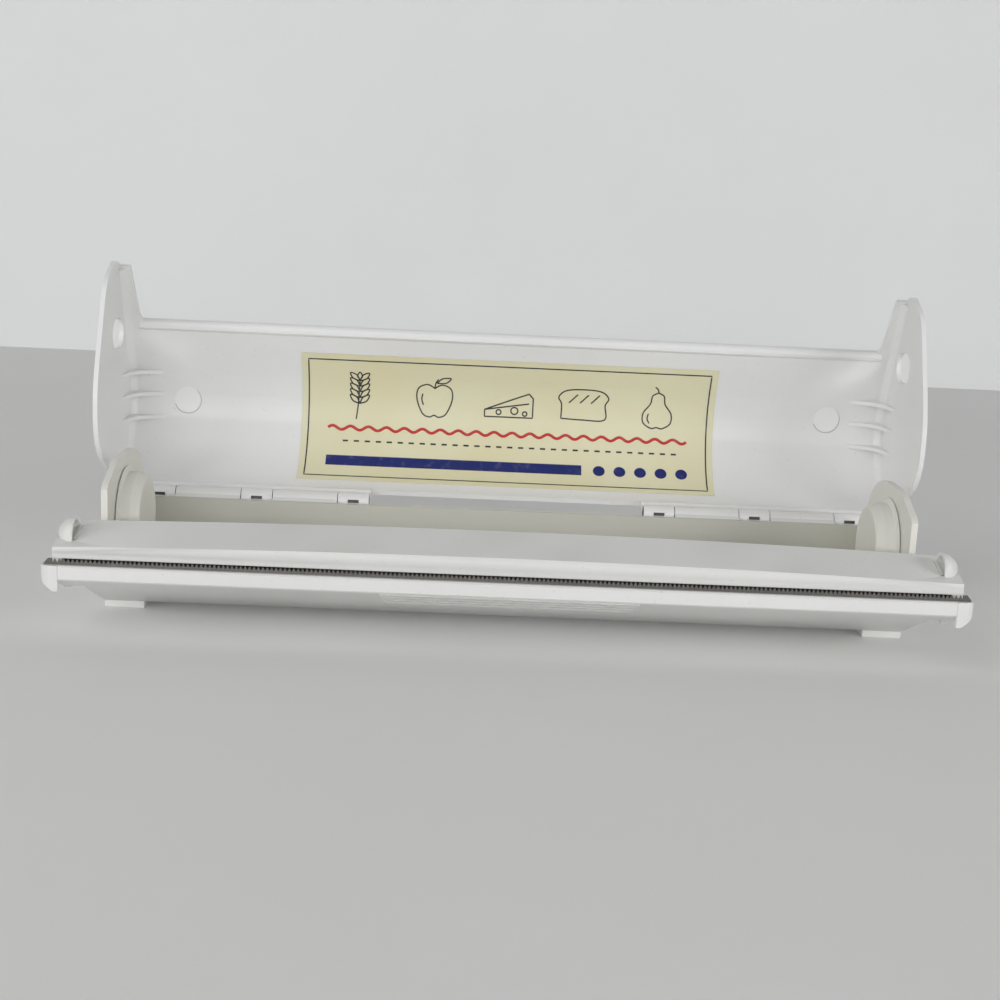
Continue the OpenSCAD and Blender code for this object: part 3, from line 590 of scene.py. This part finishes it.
# Dark line round most of the disc: painted shadow along its edge
def draw_edge_shadow(cx, v):
    line = arc(cx, v, DISC_R + EDGE_SHADOW_GAP, EDGE_SHADOW_START, EDGE_SHADOW_END, 40)
    return lambda bm: ribbon(bm, line, EDGE_SHADOW_W, LID_R, EDGE_SHADOW_T)


for side, cx, angle in (("left", -146.0, 89.5), ("right", 146.0, 95.5)):
    v = (math.radians(angle) - ARC_START) * LID_R
    lid_piece("moulding_disc_" + side, DISC_HIGHLIGHT, draw_disc(cx, v))
    lid_piece("moulding_edge_shadow_" + side, DISC_EDGE_SHADOW, draw_edge_shadow(cx, v))


# Stage, light and camera

STAGE_X = 3.0
STAGE_FRONT = -4.0
STAGE_TOP = 3.0
WALL_Y = 0.842
WORLD_LIGHT = 0.13
AIM = (0.0, 0.0, 0.06)
# Name, place, aim, width and height, watts
LAMPS = (
    ("low", (-0.4, -2.8, 0.6), AIM, (2.4, 0.6), 20.5),
    ("top", (-0.9, -0.8, 1.3), (-0.1, 0.0, 0.05), (1.2, 1.0), 4.2),
    ("left", (-1.4, -1.0, 0.5), AIM, (0.8, 0.6), 6.4),
    ("right", (1.4, -1.0, 0.5), AIM, (0.8, 0.6), 9.6),
)
CAM_PLACE = (-0.01927, -0.61012, 0.173)
CAM_SENSOR = 36.0
CAM_LENS = 54.0
PITCH, YAW, ROLL = (math.radians(a) for a in (11.803, 1.455, -2.717))


def board(name, mat, corners):
    me = bpy.data.meshes.new(name)
    me.from_pydata(corners, [], [[0, 1, 2, 3]])
    obj = bpy.data.objects.new(name, me)
    scene.collection.objects.link(obj)
    obj.data.materials.append(mat)


FLOOR = stage_mat("stage_floor_board", rgb(0.88, 0.885, 0.87), 0.02)
WALL = stage_mat("stage_wall_board", rgb(0.86, 0.865, 0.87), 0.07)
WALL_FOOT = [(STAGE_X, WALL_Y, 0), (-STAGE_X, WALL_Y, 0)]
board("stage_floor", FLOOR, [(-STAGE_X, STAGE_FRONT, 0), (STAGE_X, STAGE_FRONT, 0)] + WALL_FOOT)
board("stage_wall", WALL, WALL_FOOT[::-1] + [(STAGE_X, WALL_Y, STAGE_TOP), (-STAGE_X, WALL_Y, STAGE_TOP)])


def lamp(name, place, aim, size, power):
    data = bpy.data.lights.new(name, "AREA")
    data.shape = "RECTANGLE"
    data.size, data.size_y = size
    data.energy = power
    obj = bpy.data.objects.new(name, data)
    scene.collection.objects.link(obj)
    obj.location = place
    obj.rotation_mode = "QUATERNION"
    obj.rotation_quaternion = (Vector(aim) - Vector(place)).to_track_quat("-Z", "Y")


for row in LAMPS:
    lamp(*row)

world = bpy.data.worlds.new("studio")
scene.world = world
world.use_nodes = True
background = world.node_tree.nodes["Background"]
background.inputs["Color"].default_value = rgb(1.0, 1.0, 1.0)
background.inputs["Strength"].default_value = WORLD_LIGHT

fwd = Vector((math.sin(YAW) * math.cos(PITCH), math.cos(YAW) * math.cos(PITCH), -math.sin(PITCH)))
right = Vector((math.cos(YAW), -math.sin(YAW), 0.0))
down = fwd.cross(right)
cam_x = right * math.cos(ROLL) + down * math.sin(ROLL)
cam_d = down * math.cos(ROLL) - right * math.sin(ROLL)
cam_data = bpy.data.cameras.new("camera")
cam_data.sensor_width = CAM_SENSOR
cam_data.lens = CAM_LENS
cam = bpy.data.objects.new("camera", cam_data)
scene.collection.objects.link(cam)
axes = Matrix((cam_x, -cam_d, -fwd)).transposed().to_4x4()
cam.matrix_world = Matrix.Translation(CAM_PLACE) @ axes
scene.camera = cam

scene.view_settings.view_transform = "Standard"
